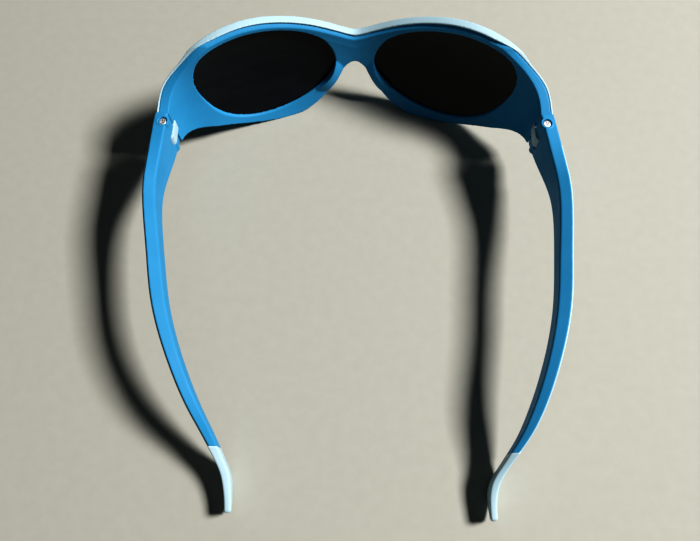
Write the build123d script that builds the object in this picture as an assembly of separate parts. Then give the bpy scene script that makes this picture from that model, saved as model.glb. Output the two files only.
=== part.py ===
from build123d import *
import os
from math import cos, radians, sin, sqrt

os.makedirs("parts", exist_ok=True)

# Child's wraparound sunglasses, standing open on the rim bottoms and the temple tips.
# +X is the wearer's left, +Y runs back along the temples, +Z is up. Millimetres.
# While they are modelled, y = 0 is the gap where the temples meet the front.
# Everything is written moved forward by MID_Y, so that the origin is under the middle.

# ---- driving dimensions ----
MID_Y = 41.1                # hinge gap to the middle of the overall length
SIDES = {"left": 1, "right": -1}

# The front is a moulding behind a thin shell, both bent to spheres about one centre.
WRAP_Y, WRAP_Z = 50.9, 34.9  # centre of the spheres
R_BACK = 78.0               # back of the moulding
R_SPLIT = 79.4              # where the moulding meets the shell
R_FRONT = 81.2              # front of the shell
R_LENS_BACK = 78.9
LENS_T = 1.6
LENS_LAP = 0.9              # how far the lens reaches behind the rim
LENS_PLAY = 0.1
SHELL_LIP = 0.3             # how far the shell's opening stands outside the aperture
# Where each sphere gives way to the end piece, degrees from the middle.
JOIN_ANGLE = {R_BACK: 33, R_SPLIT: 30, R_FRONT: 38}

# Plan of the end piece's faces: x at y = KNEE_Y, where they run back to the hinge, and points
# that each face passes on its way round the corner.
KNEE_Y, END_Y = -2.5, 9.0
END_X = {R_BACK: 54.4, R_SPLIT: 57.3, R_FRONT: 57.9}
CORNER = {R_BACK: (), R_SPLIT: ((50.8, -11.8), (55.2, -8.4)), R_FRONT: ((55.7, -8.8),)}
END_SLOPE = 0.1             # outward lean of the end piece, dx/dy

# Front outline, seen along the temples: (x, z) of one half, from the middle outwards.
TOP_LINE = ((3.5, 27.5), (12, 31.3), (22.5, 35.3), (31, 37.5), (39, 37.9), (46, 36.5), (52, 33.3), (64, 25))
BOTTOM_LINE = ((2.5, 15.4), (5, 12), (10.5, 4.5), (16.5, 0.8), (22.5, 0), (30.5, 1.2), (43, 6.2),
               (51.5, 9.9), (64, 12))
BRIDGE_TOP, BRIDGE_BOTTOM = 26.6, 16.8
APERTURE = ((6.2, 18.5), (9.6, 25.6), (17, 31.1), (27.5, 34.6), (37.5, 35.6), (45, 33), (48.1, 26),
            (46.6, 17.8), (41.4, 9.2), (32.5, 4.1), (21.5, 3.9), (11.2, 8.9))
# Top edge of an end piece: (distance behind END_PIVOT along the band, z).
END_PIVOT = (57, 0)
END_TURN = 30               # how far the band turns inwards there, degrees
END_TILT = 12               # how far its top falls inwards, degrees
END_TOP = ((10, 27), (-4, 27), (-10, 29.9), (-15, 33.8), (-22, 40))

RIM_STATIONS = 24           # points that carry a moved copy of the aperture's edge

NOSE_REST = (10.5, 8.5)     # middle of the nose rest, x and z
NOSE_REST_R, NOSE_REST_RISE = 14.0, 0.9

# Hinge: one knuckle of the front shell between two temple lugs, on a vertical screw.
HINGE_X, HINGE_Y = 55.7, 3.8
HINGE_TOP, HINGE_BOTTOM = 27.2, 11.5
FACE_Y = 0.35               # flat outer half of the end piece's back face
GAP = 0.45                  # between the end piece and the temple
KNUCKLE_Z = (15.6, 20.0)
KNUCKLE_R = 1.6
KNUCKLE_PLAY = 0.15         # above, below and round the knuckle in its slot
WEB_OUT = 0.9               # web's outer face, from the hinge axis
WEB_PLAY = 0.3
SCREW_R = 0.8
RUNNING = 0.05              # radial clearance of the screw in its bores
HEAD_R, HEAD_T = 1.15, 0.9
COUNTERBORE_R, COUNTERBORE_DEEP = 1.3, 1.25
BOSS_R = 1.75
CROSS_W, CROSS_DEEP = 0.3, 0.4
INSERT_R, INSERT_Z = 1.15, (12.1, 15.1)

# Temple: plan edges as (y, x) on the left side, and side edges as (y, z).
TEMPLE_OUT = ((-3, 57.1), (5.4, 58.2), (14, 59.1), (23, 60), (32, 59.4), (44, 57.8), (57, 55.9),
              (75, 50.4), (90, 43.7), (98, 38.9), (104, 36.9), (112, 35.8))
TEMPLE_IN = ((-3, 53.9), (7, 55), (14, 55.9), (23, 56.8), (32, 56.2), (44, 54.5), (57, 52.5), (75, 47.4),
             (90, 41.2), (98, 37), (104, 35.1), (112, 34.2))
TEMPLE_TOP = ((-3, 27.2), (8, 27), (40, 26), (60, 25), (75, 23), (88, 17.6), (98, 10.4), (104, 7.7),
              (112, 6.3))
TEMPLE_LOW = ((-3, 11.2), (4, 11.6), (16, 14.6), (28, 17.2), (42, 18.6), (58, 18.2), (75, 15.2), (88, 9.8),
              (95, 5), (99, 1.4), (102.5, 0), (106.5, 0.7), (112, 2.6))
SKIN_START = 10.6           # the pale outside skin begins here, one step proud of the blue
SKIN_T = 1.0
SKIN_STEP = 0.4
TIP_START = 94.5            # the pale tip begins here and is one piece with the skin
TEMPLE_END = 111.3
REST_TURN = 2.2             # both temples stand turned towards -X in their hinges, degrees
TIP_SWING = 1.9             # and both tips are bent towards +X at their ends


def mirrored_spline(middle, half):
    """Smooth edge in the X-Z plane through a half outline and its mirror image."""
    left = [(x, 0, z) for x, z in half]
    right = [(-x, 0, z) for x, z in half]
    return Spline(*right[::-1], (0, 0, middle), *left)


def closed_by_lines(first, second):
    """Face between two edges that run the same way, closed at both ends by straight lines."""
    return Face(Wire([first, Line(first @ 1, second @ 1), second, Line(second @ 0, first @ 0)]))


def forwards(face, start=12.0, length=60.0):
    """The face carried along Y, from behind the hinge to past the front."""
    return extrude(Pos(0, start, 0) * face, amount=length, dir=(0, -1, 0))


def plan_edges(radius):
    """Plan curve of one layer's face: an arc across the front, then a bend to each hinge."""
    reach = JOIN_ANGLE[radius]
    arc = CenterArc((0, WRAP_Y, WRAP_Z), radius, 270 - reach, 2 * reach)
    lean = radians(reach)
    x, slope = END_X[radius], END_SLOPE
    edges = [arc]
    for side, start in ((1, arc @ 1), (-1, arc @ 0)):
        heading = (side * cos(lean), sin(lean), 0)
        knee = (side * x, KNEE_Y, WRAP_Z)
        corner = [(side * px, py, WRAP_Z) for px, py in CORNER[radius]]
        bend = Spline(start, *corner, knee, tangents=[heading, (side * slope, 1, 0)])
        tail = Line(knee, (side * (x + slope * (END_Y - KNEE_Y)), END_Y, WRAP_Z))
        edges += [bend, tail]
    return edges


def band(inner, outer):
    """Layer of the front between two of its faces: the plan turned about a level axis."""
    ends = []
    for side in SIDES.values():
        reach = [side * (END_X[r] + END_SLOPE * (END_Y - KNEE_Y)) for r in (inner, outer)]
        ends.append(Line((reach[0], END_Y, WRAP_Z), (reach[1], END_Y, WRAP_Z)))
    plan = Face(Wire(plan_edges(inner) + plan_edges(outer) + ends))
    return revolve(plan, Axis((0, WRAP_Y, WRAP_Z), (1, 0, 0)), 360)


def ball(radius):
    return Pos(0, WRAP_Y, WRAP_Z) * Sphere(radius)


def end_top_cut(side):
    """All that lies above an end piece, whose top falls a little inwards."""
    crest = Spline(*[(0, y, z) for y, z in END_TOP])
    above = Polyline(crest @ 1, (0, END_TOP[-1][0], 50), (0, END_TOP[0][0], 50), crest @ 0)
    space = extrude(Face(Wire([crest, *above.edges()])), amount=20, both=True)
    tilted = Pos(0, 0, END_TOP[0][1]) * Rot(0, -side * END_TILT, 0) * Pos(0, 0, -END_TOP[0][1]) * space
    return Pos(side * END_PIVOT[0], END_PIVOT[1], 0) * Rot(0, 0, -side * END_TURN) * tilted


def front_outline():
    """Everything inside the front's contour."""
    top = mirrored_spline(BRIDGE_TOP, TOP_LINE)
    bottom = mirrored_spline(BRIDGE_BOTTOM, BOTTOM_LINE)
    contour = forwards(closed_by_lines(bottom, top))
    for side in SIDES.values():
        contour -= end_top_cut(side)
    return contour


def aperture(grow, side):
    """Lens opening carried along Y, its edge moved outwards by grow."""
    rim = Spline(*[(side * x, 0, z) for x, z in APERTURE], periodic=True)
    stations = [i / RIM_STATIONS for i in range(RIM_STATIONS)]
    outwards = [(rim % t).cross(Vector(0, side, 0)).normalized() for t in stations]
    grown = Spline(*[rim @ t + n * grow for t, n in zip(stations, outwards)], periodic=True)
    return forwards(Face(Wire([grown])))


def block(side, x, y, z):
    """Box between pairs of limits, with x counted outwards on the given side."""
    lows, highs = zip(x, y, z)
    middle = [(low + high) / 2 for low, high in zip(lows, highs)]
    return Pos(side * middle[0], middle[1], middle[2]) * Box(*(h - l for l, h in zip(lows, highs)))


def post(side, radius, low, high):
    """Upright cylinder on the hinge axis."""
    return Pos(side * HINGE_X, HINGE_Y, (low + high) / 2) * Cylinder(radius, high - low)


ALL_Z = (-5, 45)


def behind_end_piece(side):
    """All that lies behind an end piece: flat outside the hinge axis, hollowed about it inside."""
    outside = block(side, (HINGE_X, 70), (FACE_Y, 15), ALL_Z)
    inside = block(side, (40, HINGE_X), (HINGE_Y - 2.9, 15), ALL_Z)
    return outside + inside + post(side, HINGE_Y - FACE_Y, *ALL_Z)


def ahead_of_temple(side):
    """All that lies ahead of a temple's end, one gap behind the end piece."""
    start = FACE_Y + GAP
    outside = block(side, (HINGE_X, 70), (-20, start), ALL_Z)
    inside = block(side, (40, HINGE_X), (-20, HINGE_Y), ALL_Z)
    return outside + (inside - post(side, HINGE_Y - start, *ALL_Z))


def knuckle(side):
    """Hinge knuckle of the front shell, with its web and the root inside the end piece."""
    z = KNUCKLE_Z
    inner = HINGE_X - KNUCKLE_R
    web = block(side, (inner, HINGE_X + WEB_OUT), (-1, HINGE_Y), z)
    root = block(side, (inner + 0.4, 60), (-3, -0.6), z) & band(R_BACK, R_FRONT)
    return post(side, KNUCKLE_R, *z) + web + root


def knuckle_slot(side):
    """Room in the temple for the knuckle and for its web as the temple folds inwards."""
    z = (KNUCKLE_Z[0] - KNUCKLE_PLAY, KNUCKLE_Z[1] + KNUCKLE_PLAY)
    swing = HINGE_Y + KNUCKLE_R + WEB_PLAY
    sweep = block(side, (45, HINGE_X + WEB_OUT + WEB_PLAY), (-10, swing), z)
    return post(side, KNUCKLE_R + KNUCKLE_PLAY, *z) + sweep


def make_front_frame(outline):
    """Blue moulding: rims, bridge, nose rests and end pieces in one piece."""
    frame = band(R_BACK, R_SPLIT)
    rise = NOSE_REST_R - NOSE_REST_RISE
    for side in SIDES.values():
        x, z = NOSE_REST
        y = WRAP_Y - sqrt(R_BACK**2 - x**2 - (z - WRAP_Z) ** 2) - rise
        frame += Pos(side * x, y, z) * Sphere(NOSE_REST_R) & ball(R_SPLIT - 0.5) - ball(R_BACK - 6)
    frame &= outline
    rebate = ball(R_FRONT + 9) - ball(R_LENS_BACK)
    for side in SIDES.values():
        frame -= aperture(0, side)
        frame -= aperture(LENS_LAP + LENS_PLAY, side) & rebate
        frame -= behind_end_piece(side)
        frame -= knuckle(side)
    return frame


def make_front_shell(outline):
    """Pale shell over the front, carrying the two hinge knuckles."""
    shell = band(R_SPLIT, R_FRONT) & outline
    rebate = ball(R_LENS_BACK + LENS_T + LENS_PLAY)
    for side in SIDES.values():
        shell -= aperture(SHELL_LIP, side)
        shell -= aperture(LENS_LAP + LENS_PLAY, side) & rebate
        shell -= behind_end_piece(side)
        shell += knuckle(side) - post(side, SCREW_R + RUNNING, *ALL_Z)
    return shell


def make_lens(side):
    """Dark lens, bent to the same centre as the front, held between moulding and shell."""
    sheet = ball(R_LENS_BACK + LENS_T) - ball(R_LENS_BACK)
    return sheet & aperture(LENS_LAP, side)


def tip_swing(y):
    """How far the bend of a tip carries it towards +X at this station."""
    beyond = max(0, y - TIP_START) / (TEMPLE_END - TIP_START)
    return TIP_SWING * beyond**2


def at_rest(side, solid):
    """A temple part turned about its hinge, as the glasses stand."""
    axis = Axis((side * HINGE_X, HINGE_Y, 0), (0, 0, 1))
    return solid.rotate(axis, REST_TURN)


def temple_band(side, inner, outer, start, end):
    """Part of a temple between two plan edges and two stations along its length.

    inner and outer are (edge, shift) pairs: a plan edge and how far it is moved outwards.
    """
    edges = []
    for edge, shift in (inner, outer):
        edges.append(Spline(*[(side * (x + shift) + tip_swing(y), y, -5) for y, x in edge]))
    plan = extrude(closed_by_lines(*edges), amount=50, dir=(0, 0, 1))
    top, low = (Spline(*[(0, y, z) for y, z in edge]) for edge in (TEMPLE_TOP, TEMPLE_LOW))
    profile = extrude(closed_by_lines(low, top), amount=80, both=True)
    return plan & profile & block(side, (20, 70), (start, end), ALL_Z)


def make_temple_core(side):
    """Blue temple: the inside and top, with the two hinge lugs at its front end."""
    inside, skin = (TEMPLE_IN, 0), (TEMPLE_OUT, SKIN_STEP - SKIN_T)
    core = temple_band(side, inside, (TEMPLE_OUT, 0), -3, SKIN_START)
    core += temple_band(side, inside, skin, SKIN_START, TIP_START)
    core += post(side, BOSS_R, HINGE_BOTTOM, HINGE_TOP)
    core -= ahead_of_temple(side)
    core -= knuckle_slot(side)
    core -= post(side, SCREW_R + RUNNING, INSERT_Z[0], HINGE_TOP + 1)
    core -= post(side, COUNTERBORE_R, HINGE_TOP - COUNTERBORE_DEEP, HINGE_TOP + 1)
    core -= post(side, INSERT_R, HINGE_BOTTOM - 1, INSERT_Z[1])
    return core


def make_temple_shell(side):
    """Pale skin down the outside of a temple, in one piece with the tip behind the ear."""
    outside = (TEMPLE_OUT, SKIN_STEP)
    skin = temple_band(side, (TEMPLE_OUT, SKIN_STEP - SKIN_T), outside, SKIN_START, TIP_START)
    return skin + temple_band(side, (TEMPLE_IN, 0), outside, TIP_START, TEMPLE_END)


def make_hinge_screw(side):
    """Cross-recessed screw that goes down through both lugs and the knuckle."""
    seat = HINGE_TOP - COUNTERBORE_DEEP
    head = post(side, HEAD_R, seat, seat + HEAD_T)
    head = fillet(head.edges().group_by(Axis.Z)[-1], 0.35)
    arms = Box(1.6, CROSS_W, 2 * CROSS_DEEP) + Box(CROSS_W, 1.6, 2 * CROSS_DEEP)
    head -= Pos(side * HINGE_X, HINGE_Y, seat + HEAD_T) * Rot(0, 0, 20) * arms
    return head + post(side, SCREW_R, INSERT_Z[0] + 0.3, seat)


def make_hinge_insert(side):
    """Threaded insert in the lower lug, held by its tight fit in the pocket."""
    return post(side, INSERT_R, *INSERT_Z) - post(side, SCREW_R + 0.02, *ALL_Z)


frame_outline = front_outline()
nodes = {
    "front_frame": make_front_frame(frame_outline),
    "front_shell": make_front_shell(frame_outline),
}
for name, side in SIDES.items():
    nodes[f"{name}_lens"] = make_lens(side)
    nodes[f"{name}_temple_core"] = at_rest(side, make_temple_core(side))
    nodes[f"{name}_temple_shell"] = at_rest(side, make_temple_shell(side))
    nodes[f"{name}_hinge_screw"] = at_rest(side, make_hinge_screw(side))
    nodes[f"{name}_hinge_insert"] = make_hinge_insert(side)

for name, solid in nodes.items():
    export_step(Pos(0, -MID_Y, 0) * solid, f"parts/{name}.step")
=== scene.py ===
from math import cos, pi, radians, sin, sqrt

import bmesh
import bpy
import numpy as np
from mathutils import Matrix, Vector
from mathutils.geometry import convex_hull_2d


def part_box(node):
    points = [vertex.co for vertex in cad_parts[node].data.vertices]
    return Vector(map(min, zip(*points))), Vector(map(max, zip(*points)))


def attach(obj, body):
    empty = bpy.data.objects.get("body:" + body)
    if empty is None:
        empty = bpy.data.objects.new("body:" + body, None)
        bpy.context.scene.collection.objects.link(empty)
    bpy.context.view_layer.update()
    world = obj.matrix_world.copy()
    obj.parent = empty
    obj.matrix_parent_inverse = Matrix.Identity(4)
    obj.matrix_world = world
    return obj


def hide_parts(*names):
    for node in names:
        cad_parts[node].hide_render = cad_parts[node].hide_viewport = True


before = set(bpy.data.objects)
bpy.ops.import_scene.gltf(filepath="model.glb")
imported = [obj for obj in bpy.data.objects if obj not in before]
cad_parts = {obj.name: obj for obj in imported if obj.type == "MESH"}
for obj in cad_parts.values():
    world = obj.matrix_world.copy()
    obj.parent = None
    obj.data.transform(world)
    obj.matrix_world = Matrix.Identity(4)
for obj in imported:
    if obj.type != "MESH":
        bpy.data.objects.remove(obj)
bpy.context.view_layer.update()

# Child's wraparound sunglasses, open on a table. Sizes below are in millimetres and are turned
# into metres where meshes are made. Stations along a temple count back from the hinge gap.
MM = 0.001
SIDES = {"left": 1, "right": -1}

# ---- places that come from the frame ----
HINGE_Y = 3.8               # hinge axis, back from the hinge gap
screw_low, screw_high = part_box("left_hinge_screw")
screw_middle = (screw_low + screw_high) / 2 / MM
HINGE_X = screw_middle.x
GAP_Y = screw_middle.y - HINGE_Y    # the hinge gap in the frame's own y

# ---- driving dimensions of the front ----
WRAP_Y, WRAP_Z = 50.9, 34.9         # centre that the front is bent about, y from the hinge gap
R_BACK, R_SPLIT, R_FRONT = 78.0, 79.4, 81.2     # back of the blue, where the pale begins, its front
BROW_DROP, BROW_REACH = 1.5, 4.5    # how far the blue brow falls backwards, over what depth
BROW_STEP = 0.35                    # share of that drop which is already there where it begins
BROW_LAP, LAP_REACH = 0.8, 1.6      # how far the pale brow laps over it, over what depth
BROW_END, BROW_FADE = 54, 14        # where that stops before the end pieces
R_LENS_BACK, LENS_T = 78.9, 1.6
LENS_EDGE = 0.25                    # rounding of the lens's edge
LENS_RINGS, LENS_SPOKES, LENS_EDGE_STEPS = 40, 144, 6

# ---- driving dimensions of the temples ----
# A line along a temple is a list of (station, distance out from the middle) or (station, height).
TEMPLE_OUT = ((-3, 57.4), (5.4, 58.5), (14, 59.3), (23, 60), (32, 59.4), (44, 57.8), (57, 55.9),
              (75, 50.4), (90, 43.7), (98, 38.9), (101, 37.3), (104, 36.4), (112, 35.9))
TEMPLE_IN = ((-3, 53.9), (7, 55), (14, 55.9), (23, 56.8), (32, 56.2), (44, 54.5), (57, 52.5),
             (75, 47.4), (90, 41.2), (98, 36.9), (101, 35.3), (104, 34.6), (112, 34.4))
TEMPLE_TOP = ((-3, 27.2), (8, 27), (40, 26), (60, 25), (75, 23), (88, 17.6), (98, 10.4),
              (104, 7.7), (112, 6.3))
TEMPLE_LOW = ((-3, 11.2), (4, 11.6), (16, 14.6), (28, 17.2), (42, 18.6), (58, 18.2), (75, 15.2),
              (88, 9.8), (95, 5), (99, 1.4), (102.5, 0), (106.5, 0.7), (112, 2.6))
TEMPLE_START, SKIN_START, TIP_START, TEMPLE_END = -3, 10.6, 94.5, 111.3
SKIN_T, SKIN_STEP = 1.0, 0.4        # thickness of the skin, and how far it stands past the blue
REST_TURN = radians(2.2)    # both temples stand turned towards -X in their hinges
TIP_SWING = 1.9             # and both tips are bent towards +X at their ends
SWING_START, SWING_END = 88, 106    # stations between which that bend lies
STATION = 0.8               # spacing of a temple's cross-sections
CORNER_STEPS = 5
LARGEST_CURVE = 0.49        # a corner's curve takes up no more of an edge than this share
THINNEST = 0.02             # half of a section at the very tip of a rounded end
STEP_LENGTH = 0.02          # length over which a loft's section changes at a step
CORE_CORNER, LIP_CORNER, SKIN_CORNER, TIP_CORNER = 0.55, 0.3, 0.3, 0.7
CORNER_GROWTH = 0.06        # per station, from a core's corner to a tip's
CREASE, HIDDEN_CORNER = 0.02, 0.1   # corners of the rebate, and those that the skin covers
LIP_T = 0.55                # blue lip along the top of the pale skin
SKIN_LEAN = 0.25            # the skin stands further out at its foot
SKIN_ROUND, TIP_ROUND = 0.3, 0.8    # rounding of the skin's front end and of the tip's end
TIP_LEAN, LEAN_LENGTH = 0.45, 6     # the tips' inner faces lean outwards at their feet
TOP_SLOPE, LEVEL_UNTIL, SLOPE_LENGTH = 0.36, 8, 14   # how a temple's top falls inwards

# ---- driving dimensions of the hinges ----
HINGE_TOP = 27.2
FACE = 0.8                  # front face of a temple, back from the hinge gap
SLOT_Z = (15.45, 20.15)     # heights between the lugs, where the front's knuckle turns
SLOT_R, SLOT_OUT, SLOT_BACK = 1.75, 1.2, 1.9    # round the axis, and how far out and back
BORE_R, COUNTERBORE_R, COUNTERBORE_DEEP = 0.85, 1.3, 1.25
BOSS_R, BOSS_DEEP = 1.75, 2.2
LOW_BOSS_R, LOW_BOSS_Z = 1.5, (11.5, SLOT_Z[0])
INSERT_R, INSERT_Z = 1.15, (12.1, 15.1)
DISC_STEPS = 48
CUT_IN, CUT_OUT, CUT_AHEAD, CUT_UNDER, CUT_OVER = 40, 70, -20, 0, 40    # cuts reach past the temple

# ---- meshes ----
FRONT_GRAIN, TEMPLE_GRAIN = 0.21, 0.16  # mesh size of the moulded pieces
SOFTENING = 5               # smoothing passes that round a moulding's edges
WELD = 1e-6                 # points closer than this, in metres, are one


# ---- shaders ----
NOISE_LOW, NOISE_HIGH = 0.3, 0.7    # the part of a noise's range that is used


def new_material(name):
    material = bpy.data.materials.new(name)
    material.use_nodes = True
    nodes = material.node_tree.nodes
    return material, nodes, material.node_tree.links, nodes["Principled BSDF"]


def noise(nodes, links, scale, detail=4.0, stretch=(1, 1, 1)):
    """Noise in the object's own space, with scale in features per metre."""
    place = nodes.new("ShaderNodeTexCoord")
    mapping = nodes.new("ShaderNodeMapping")
    mapping.inputs["Scale"].default_value = stretch
    texture = nodes.new("ShaderNodeTexNoise")
    texture.inputs["Scale"].default_value = scale
    texture.inputs["Detail"].default_value = detail
    links.new(place.outputs["Object"], mapping.inputs["Vector"])
    links.new(mapping.outputs["Vector"], texture.inputs["Vector"])
    return texture.outputs["Fac"]


def spread(nodes, links, factor, low, high):
    """The factor carried to the range from low to high."""
    node = nodes.new("ShaderNodeMapRange")
    node.inputs["From Min"].default_value = NOISE_LOW
    node.inputs["From Max"].default_value = NOISE_HIGH
    node.inputs["To Min"].default_value = low
    node.inputs["To Max"].default_value = high
    links.new(factor, node.inputs["Value"])
    return node.outputs["Result"]


def colours(nodes, links, factor, first, second):
    """Colour between two, by the factor."""
    node = nodes.new("ShaderNodeValToRGB")
    ends = (NOISE_LOW, first), (NOISE_HIGH, second)
    for element, (position, colour) in zip(node.color_ramp.elements, ends):
        element.position = position
        element.color = (*colour, 1)
    links.new(factor, node.inputs["Fac"])
    return node.outputs["Color"]


def bump(nodes, links, layers):
    """Chain of bumps, each a (height, distance in metres, strength)."""
    normal = None
    for height, distance, strength in layers:
        node = nodes.new("ShaderNodeBump")
        node.inputs["Distance"].default_value = distance
        node.inputs["Strength"].default_value = strength
        links.new(height, node.inputs["Height"])
        if normal is not None:
            links.new(normal, node.inputs["Normal"])
        normal = node.outputs["Normal"]
    return normal


def moulded_plastic(name, first, second, roughness, sheen):
    """Satin moulding: fine grain, handling marks in the gloss, slight colour drift."""
    material, nodes, links, shader = new_material(name)
    drift = noise(nodes, links, 55, 3)
    marks = noise(nodes, links, 260, 6, (1, 0.45, 1))
    grain = noise(nodes, links, 7000, 2)
    flow = noise(nodes, links, 900, 3)
    links.new(colours(nodes, links, drift, first, second), shader.inputs["Base Color"])
    links.new(spread(nodes, links, marks, *roughness), shader.inputs["Roughness"])
    normal = bump(nodes, links, [(flow, 0.00002, 0.25), (grain, 0.000012, 0.5)])
    links.new(normal, shader.inputs["Normal"])
    shader.inputs["Sheen Weight"].default_value = sheen
    shader.inputs["Sheen Roughness"].default_value = 0.4
    shader.inputs["IOR"].default_value = 1.5
    shader.inputs["Specular IOR Level"].default_value = 0.14
    return material


def tinted_lens():
    """Near-black polished lens with faint wiping marks and a thin hard coat."""
    material, nodes, links, shader = new_material("tinted_lens")
    wiping = noise(nodes, links, 90, 5, (1, 1, 3))
    dust = noise(nodes, links, 2600, 2)
    depth = colours(nodes, links, wiping, (0.0035, 0.0045, 0.006), (0.006, 0.0075, 0.0095))
    links.new(depth, shader.inputs["Base Color"])
    links.new(spread(nodes, links, wiping, 0.07, 0.16), shader.inputs["Roughness"])
    links.new(bump(nodes, links, [(dust, 0.000004, 0.15)]), shader.inputs["Normal"])
    shader.inputs["Specular IOR Level"].default_value = 0.1
    shader.inputs["Coat Weight"].default_value = 0.06
    shader.inputs["Coat Roughness"].default_value = 0.03
    return material


def plated_metal(name, first, second):
    """Plated metal with a little tarnish, and fine scratches in its gloss."""
    material, nodes, links, shader = new_material(name)
    tarnish = noise(nodes, links, 1800, 4)
    scratches = noise(nodes, links, 5200, 3, (1, 1, 0.12))
    links.new(colours(nodes, links, tarnish, first, second), shader.inputs["Base Color"])
    links.new(spread(nodes, links, scratches, 0.38, 0.58), shader.inputs["Roughness"])
    links.new(bump(nodes, links, [(scratches, 0.00001, 0.35)]), shader.inputs["Normal"])
    shader.inputs["Metallic"].default_value = 0.85
    return material


BLUE = moulded_plastic("blue_satin", (0.022, 0.205, 0.400), (0.030, 0.230, 0.445), (0.46, 0.60), 0.01)
PALE = moulded_plastic("pale_satin", (0.350, 0.500, 0.565), (0.390, 0.535, 0.600), (0.34, 0.48), 0.02)
LENS = tinted_lens()
STEEL = plated_metal("screw_steel", (0.66, 0.66, 0.66), (0.80, 0.79, 0.78))
BRASS = plated_metal("insert_brass", (0.58, 0.42, 0.18), (0.70, 0.54, 0.26))


# ---- mesh helpers ----
def new_object(name, vertices, faces):
    mesh = bpy.data.meshes.new(name)
    mesh.from_pydata([Vector(v) for v in vertices], [], faces)
    mesh.validate()
    obj = bpy.data.objects.new(name, mesh)
    bpy.context.scene.collection.objects.link(obj)
    return obj


def rings_object(name, rings):
    """Closed mesh through rings of as many points each, with a fan over either end."""
    count = len(rings[0])
    vertices = [point for ring in rings for point in ring]
    faces = []
    for row in range(len(rings) - 1):
        for j in range(count):
            k = (j + 1) % count
            a, b = row * count, (row + 1) * count
            faces.append((a + j, a + k, b + k, b + j))
    for ring, first in ((rings[0], 0), (rings[-1], len(vertices) - count)):
        middle = len(vertices)
        vertices.append(np.mean(ring, axis=0))
        faces += [(first + j, first + (j + 1) % count, middle) for j in range(count)]
    obj = new_object(name, vertices, faces)
    return settle(obj)


def settle(obj):
    """The object's modifiers are carried out, and its normals all face outwards."""
    graph = bpy.context.evaluated_depsgraph_get()
    mesh = bpy.data.meshes.new_from_object(obj.evaluated_get(graph))
    obj.modifiers.clear()
    obj.data = mesh
    work = bmesh.new()
    work.from_mesh(mesh)
    bmesh.ops.recalc_face_normals(work, faces=work.faces)
    work.to_mesh(mesh)
    work.free()
    return obj


def soften(obj, grain):
    """An even mesh over the shape, smoothed so that every edge has a moulding's small radius."""
    even = obj.modifiers.new("even", "REMESH")
    even.mode = "VOXEL"
    even.voxel_size = grain * MM
    even.use_smooth_shade = True
    smooth = obj.modifiers.new("smooth", "SMOOTH")
    smooth.iterations = SOFTENING
    return settle(obj)


def combine(obj, tool, operation):
    """Boolean of obj with a tool, which is used up."""
    modifier = obj.modifiers.new(operation, "BOOLEAN")
    modifier.operation = operation
    modifier.solver = "EXACT"
    modifier.object = tool
    settle(obj)
    bpy.data.objects.remove(tool)
    return obj


def finish_piece(obj, body, material, slot, *nodes):
    """Smooth shading, material, body and the CAD nodes that the piece stands for."""
    obj.data.materials.clear()
    obj.data.materials.append(material)
    obj.data.shade_smooth()
    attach(obj, body)
    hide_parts(*nodes)
    return obj


def through(points):
    """Smooth function through (station, value) points: a natural cubic spline."""
    stations, values = np.array(points, float).T
    steps = np.diff(stations)
    slopes = np.diff(values) / steps
    system = np.eye(len(stations))
    wanted = np.zeros(len(stations))
    for i in range(1, len(steps)):
        system[i, i - 1:i + 2] = steps[i - 1], 2 * (steps[i - 1] + steps[i]), steps[i]
        wanted[i] = 6 * (slopes[i] - slopes[i - 1])
    bends = np.linalg.solve(system, wanted)

    def at(station):
        i = int(np.clip(np.searchsorted(stations, station) - 1, 0, len(steps) - 1))
        a = (stations[i + 1] - station) / steps[i]
        b = 1 - a
        straight = a * values[i] + b * values[i + 1]
        return straight + ((a**3 - a) * bends[i] + (b**3 - b) * bends[i + 1]) * steps[i] ** 2 / 6

    return at


# ---- front ----
def softened_node(node, grain):
    """Piece with the CAD node's shape, on an even mesh with rounded edges."""
    obj = bpy.data.objects.new(f"{node}_moulding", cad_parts[node].data.copy())
    bpy.context.scene.collection.objects.link(obj)
    work = bmesh.new()
    work.from_mesh(obj.data)
    bmesh.ops.remove_doubles(work, verts=work.verts, dist=WELD)
    work.to_mesh(obj.data)
    work.free()
    return soften(obj, grain)


def ease_brow(obj, shift, drop, reach):
    """Top of a front piece moved inwards and down, less and less as far as reach below its crest."""
    places = np.array([v.co for v in obj.data.vertices]) / MM
    across = np.abs(places[:, 0])
    columns = np.round(across).astype(int)
    crest = np.full(columns.max() + 1, -np.inf)
    np.maximum.at(crest, columns, places[:, 2])
    depth = np.interp(across, np.arange(len(crest)), crest) - places[:, 2]
    arms = places - (0, GAP_Y + WRAP_Y, WRAP_Z)
    radii = np.sqrt((arms**2).sum(1))
    weight = np.clip(1 - depth / reach, 0, 1)
    weight *= np.clip((BROW_END - across) / BROW_FADE, 0, 1)
    inwards = weight * shift(radii) / radii
    places[:, :2] -= arms[:, :2] * inwards[:, None]
    places[:, 2] -= weight * drop(radii)
    obj.data.vertices.foreach_set("co", (places * MM).ravel())
    obj.data.update()
    return obj


def brow_drop(radii):
    """The blue brow's top starts below the pale one and falls on towards the wearer."""
    share = np.clip((R_SPLIT - radii) / (R_SPLIT - R_BACK), 0, 1)
    return BROW_DROP * (BROW_STEP + (1 - BROW_STEP) * share)


def brow_lap(radii):
    """The pale brow's back edge moves inwards and its front stays in place."""
    return BROW_LAP * np.clip((R_FRONT - radii) / (R_FRONT - R_SPLIT), 0, 1)


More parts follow.
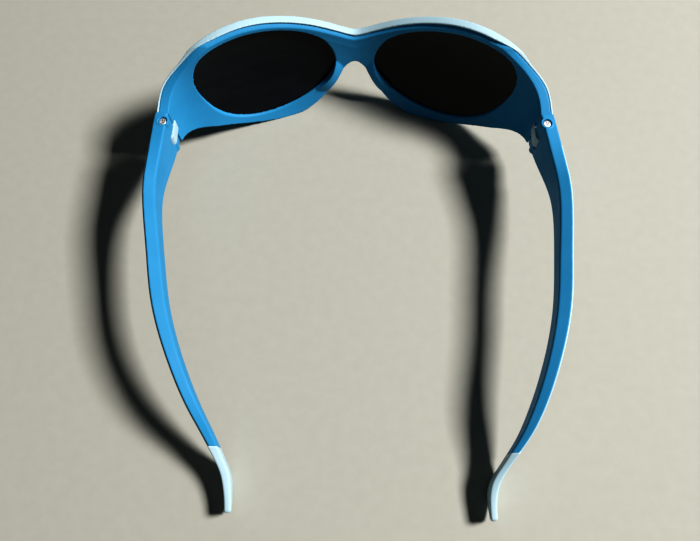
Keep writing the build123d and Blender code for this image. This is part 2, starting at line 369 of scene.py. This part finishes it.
def lens_outline(node):
    """Centre of a lens seen along Y, and its outline's radius at even angles."""
    places = np.array([v.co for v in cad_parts[node].data.vertices])[:, [0, 2]] / MM
    rim = places[convex_hull_2d([Vector(p) for p in places])]
    centre = (rim.min(0) + rim.max(0)) / 2
    bearings = np.arctan2(*(rim - centre).T[::-1])
    angles = np.linspace(0, 2 * pi, LENS_SPOKES, endpoint=False)
    radii = np.interp(angles, bearings, np.hypot(*(rim - centre).T), period=2 * pi)
    return centre, angles, radii


def make_lens(name):
    """Polished lens: two exact spherical faces with a rounded edge between them."""
    centre, angles, radii = lens_outline(f"{name}_lens")
    shares = np.sin(np.linspace(0, pi / 2, LENS_RINGS + 1)[1:])
    rings = []

    def add_ring(share, sphere, inset):
        x, z = centre[:, None] + share * (radii - inset) * np.stack([np.cos(angles), np.sin(angles)])
        y = WRAP_Y - np.sqrt(sphere**2 - x**2 - (z - WRAP_Z) ** 2)
        rings.append(np.stack([x, y + GAP_Y, z], 1) * MM)

    for share in shares:
        add_ring(share, R_LENS_BACK, LENS_EDGE)
    for turn in np.linspace(0, pi, LENS_EDGE_STEPS + 1)[1:-1]:
        depth = (1 - cos(turn)) / 2
        add_ring(1, R_LENS_BACK + depth * LENS_T, LENS_EDGE * (1 - sin(turn)))
    for share in shares[::-1]:
        add_ring(share, R_LENS_BACK + LENS_T, LENS_EDGE)
    lens = rings_object(f"{name}_lens_polished", rings)
    finish_piece(lens, "front", LENS, "dark_lens", f"{name}_lens")


# ---- temples ----
def tip_swing(y):
    """How far the bend of a tip carries it towards +X at this station."""
    share = min(1, max(0, (y - SWING_START) / (SWING_END - SWING_START)))
    return TIP_SWING * share**2 * (3 - 2 * share)


def place(side, x, y, z):
    """A temple's point in metres, from its distance out from the middle, station and height."""
    across, along = side * (x - HINGE_X) + tip_swing(y), y - HINGE_Y
    c, s = cos(REST_TURN), sin(REST_TURN)
    turned = across * c - along * s, across * s + along * c
    return (side * HINGE_X + turned[0]) * MM, (GAP_Y + HINGE_Y + turned[1]) * MM, z * MM


def rounded_loop(corners):
    """Loop of (x, z) points round (x, z, radius) corners, each cut by a small curve."""
    loop = []
    for i, (x, z, radius) in enumerate(corners):
        here = np.array([x, z])
        arms = []
        for other in (corners[i - 1], corners[(i + 1) % len(corners)]):
            arm = np.array(other[:2]) - here
            length = np.hypot(*arm)
            arms.append(arm / length * min(radius, LARGEST_CURVE * length))
        for t in np.linspace(0, 1, CORNER_STEPS + 1):
            loop.append(here + (1 - t) ** 2 * arms[0] + t**2 * arms[1])
    return np.array(loop)


OUT, IN, TOP, LOW = (through(line) for line in (TEMPLE_OUT, TEMPLE_IN, TEMPLE_TOP, TEMPLE_LOW))


def end_inset(distance, radius):
    """How far a rounded-over end draws the section in, at this distance from the end."""
    if distance >= radius:
        return 0.0
    return radius - sqrt(radius**2 - (radius - distance) ** 2)


def stations(start, end, start_round, end_round, step_at):
    """Stations of a loft: even along it, closer over rounded ends, and a pair at the step."""
    found = set(np.arange(start + start_round, end - end_round, STATION))
    for share in 1 - np.cos(np.linspace(0, pi / 2, CORNER_STEPS + 1)):
        found |= {start + start_round * share, end - end_round * share}
    found = {y for y in found if abs(y - step_at) > STATION / 4}
    return sorted(found | {step_at - STEP_LENGTH, step_at + STEP_LENGTH})


def temple_loft(name, side, start, end, section, step_at, start_round=0.0, end_round=0.0):
    """Loft along a temple, where section(y) gives the corners of its cross-section."""
    rings = []
    for y in stations(start, end, start_round, end_round, step_at):
        loop = rounded_loop(section(y))
        inset = max(end_inset(y - start, start_round), end_inset(end - y, end_round))
        middle = (loop.min(0) + loop.max(0)) / 2
        half = loop.max(0) - middle
        loop = middle + (loop - middle) * np.maximum(half - inset, THINNEST) / half
        rings.append([place(side, x, y, z) for x, z in loop])
    return rings_object(name, rings)


def top_at(y, x):
    """Height of a temple's top: level at the hinge, falling inwards behind it."""
    share = min(1, max(0, (y - LEVEL_UNTIL) / SLOPE_LENGTH), max(0, (TEMPLE_END - y) / SLOPE_LENGTH))
    return TOP(y) - TOP_SLOPE * share * (OUT(y) - x)


def core_section(y):
    """Blue temple: behind SKIN_START its outside is rebated for the skin, below a lip at the top."""
    lip = OUT(y)
    under = lip if y < SKIN_START else lip + SKIN_STEP - SKIN_T
    under = min(under, lip - STEP_LENGTH)
    low, ledge = LOW(y), TOP(y) - LIP_T
    return ((IN(y), low, CORE_CORNER), (under, low, HIDDEN_CORNER), (under, ledge, CREASE),
            (lip, ledge, CREASE), (lip, TOP(y), LIP_CORNER), (IN(y), top_at(y, IN(y)), CORE_CORNER))


def shell_section(y):
    """Pale skin under the blue lip, and behind it the tip at the temple's full width."""
    low, outside = LOW(y), OUT(y) + SKIN_STEP
    if y < TIP_START:
        ledge = TOP(y) - LIP_T
        inside = outside - SKIN_T
        return ((inside, low, HIDDEN_CORNER), (outside + SKIN_LEAN, low, SKIN_CORNER),
                (outside, ledge, SKIN_CORNER), (inside, ledge, HIDDEN_CORNER))
    soft = min(TIP_CORNER, CORE_CORNER + (y - TIP_START) * CORNER_GROWTH)
    lean = TIP_LEAN * min(1, (y - TIP_START) / LEAN_LENGTH)
    return ((IN(y) + lean, low, soft), (outside, low, soft), (outside, TOP(y), soft),
            (IN(y), top_at(y, IN(y)), soft))


def prism(name, side, outline, low, high):
    """Solid with an (x, y) outline between two heights, placed as a temple's point is."""
    return rings_object(name, [[place(side, x, y, z) for x, y in outline] for z in (low, high)])


def disc(radius):
    """Circle about the hinge axis."""
    turns = np.linspace(0, 2 * pi, DISC_STEPS, endpoint=False)
    return [(HINGE_X + radius * cos(t), HINGE_Y + radius * sin(t)) for t in turns]


def ahead_of_temple():
    """Outline of what is cut off a temple's front: flat outside, round about the hinge inside."""
    radius = HINGE_Y - FACE
    turns = np.linspace(1.5 * pi, pi, DISC_STEPS // 4)
    round_part = [(HINGE_X + radius * cos(t), HINGE_Y + radius * sin(t)) for t in turns]
    return [(CUT_OUT, CUT_AHEAD), (CUT_OUT, FACE), *round_part, (CUT_IN, HINGE_Y), (CUT_IN, CUT_AHEAD)]


def make_core(name, side):
    """Blue temple with its bosses, the slot for the front's knuckle, and the screw's seat."""
    core = temple_loft(f"{name}_temple_blue", side, TEMPLE_START, TIP_START, core_section, SKIN_START)
    bosses = (BOSS_R, HINGE_TOP - BOSS_DEEP, HINGE_TOP), (LOW_BOSS_R, *LOW_BOSS_Z)
    for radius, low, high in bosses:
        combine(core, prism("boss", side, disc(radius), low, high), "UNION")
    slot_edge, slot_back = HINGE_X + SLOT_OUT, HINGE_Y + SLOT_BACK
    slot_box = [(CUT_IN, CUT_AHEAD), (slot_edge, CUT_AHEAD), (slot_edge, slot_back), (CUT_IN, slot_back)]
    cuts = (
        (ahead_of_temple(), CUT_UNDER, CUT_OVER),
        (slot_box, *SLOT_Z),
        (disc(SLOT_R), *SLOT_Z),
        (disc(BORE_R), INSERT_Z[0], CUT_OVER),
        (disc(COUNTERBORE_R), HINGE_TOP - COUNTERBORE_DEEP, CUT_OVER),
        (disc(INSERT_R), CUT_UNDER, INSERT_Z[1]),
    )
    for outline, low, high in cuts:
        combine(core, prism("cut", side, outline, low, high), "DIFFERENCE")
    soften(core, TEMPLE_GRAIN)
    finish_piece(core, f"{name}_temple", BLUE, "blue_moulding", f"{name}_temple_core")


def make_shell(name, side):
    """Pale skin outside a temple, in one piece with its tip."""
    shell = temple_loft(f"{name}_temple_pale", side, SKIN_START, TEMPLE_END, shell_section, TIP_START,
                        start_round=SKIN_ROUND, end_round=TIP_ROUND)
    finish_piece(shell, f"{name}_temple", PALE, "pale_moulding", f"{name}_temple_shell")


# ---- the object ----
front = ease_brow(softened_node("front_frame", FRONT_GRAIN), np.zeros_like, brow_drop, BROW_REACH)
finish_piece(front, "front", BLUE, "blue_moulding", "front_frame")
shell = ease_brow(softened_node("front_shell", FRONT_GRAIN), brow_lap, np.zeros_like, LAP_REACH)
finish_piece(shell, "front", PALE, "pale_moulding", "front_shell")
for name, side in SIDES.items():
    make_lens(name)
    make_core(name, side)
    make_shell(name, side)
    for node, material in ((f"{name}_hinge_screw", STEEL), (f"{name}_hinge_insert", BRASS)):
        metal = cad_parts[node]
        metal.data.materials.clear()
        metal.data.materials.append(material)

# ---- floor, light and camera ----
FLOOR_HALF = 4000
LIT_POINT = (0, 0, 10)
ROOM_COLOUR, ROOM_STRENGTH = (0.80, 0.95, 1.0, 1), 0.014
WALL_COLOUR = (0.52, 0.51, 0.47, 1)
CAMERA_PLACE = (0.6, 70.4, 197.3)
CAMERA_TILT, CAMERA_TURN = radians(20), radians(180.4)
FOCAL_LENGTH, SENSOR_WIDTH, CLIP_START = 34.97, 36, 10


def make_floor():
    """Plain pale floor with faint mottling."""
    half = FLOOR_HALF * MM
    corners = [(-half, -half, 0), (half, -half, 0), (half, half, 0), (-half, half, 0)]
    floor = new_object("floor", corners, [(0, 1, 2, 3)])
    material, nodes, links, shader = new_material("pale_floor")
    mottling = noise(nodes, links, 300, 5)
    tints = colours(nodes, links, mottling, (0.350, 0.343, 0.298), (0.365, 0.358, 0.312))
    links.new(tints, shader.inputs["Base Color"])
    shader.inputs["Roughness"].default_value = 0.85
    floor.data.materials.append(material)


def area_light(name, position, size, watts, colour):
    """Soft square light that faces the glasses."""
    data = bpy.data.lights.new(name, "AREA")
    data.size = size * MM
    data.energy = watts
    data.color = colour
    light = bpy.data.objects.new(name, data)
    light.location = Vector(position) * MM
    aim = (Vector(LIT_POINT) - Vector(position)).to_track_quat("-Z", "Y")
    light.rotation_euler = aim.to_euler()
    bpy.context.scene.collection.objects.link(light)


def make_room():
    """Faint light from all round, and a plain pale wall that the camera sees and that lights nothing."""
    world = bpy.data.worlds.new("room")
    world.use_nodes = True
    nodes, links = world.node_tree.nodes, world.node_tree.links
    room = nodes["Background"]
    room.inputs["Color"].default_value = ROOM_COLOUR
    room.inputs["Strength"].default_value = ROOM_STRENGTH
    wall = nodes.new("ShaderNodeBackground")
    wall.inputs["Color"].default_value = WALL_COLOUR
    seen = nodes.new("ShaderNodeLightPath")
    either = nodes.new("ShaderNodeMixShader")
    links.new(seen.outputs["Is Camera Ray"], either.inputs["Fac"])
    links.new(room.outputs["Background"], either.inputs[1])
    links.new(wall.outputs["Background"], either.inputs[2])
    links.new(either.outputs["Shader"], nodes["World Output"].inputs["Surface"])
    bpy.context.scene.world = world


def make_camera():
    data = bpy.data.cameras.new("camera")
    data.sensor_width = SENSOR_WIDTH
    data.lens = FOCAL_LENGTH
    data.clip_start = CLIP_START * MM
    camera = bpy.data.objects.new("camera", data)
    camera.location = Vector(CAMERA_PLACE) * MM
    camera.rotation_euler = (CAMERA_TILT, 0, CAMERA_TURN)
    bpy.context.scene.collection.objects.link(camera)
    return camera


make_floor()
area_light("window", (-1036, -126, 1116), 320, 36.0, (1.0, 0.99, 0.98))
area_light("ceiling", (150, 200, 1100), 700, 0.34, (0.86, 0.96, 1.0))
make_room()
bpy.context.scene.view_settings.view_transform = "Standard"
bpy.context.scene.view_settings.look = "High Contrast"
bpy.context.scene.camera = make_camera()

bpy.context.view_layer.update()
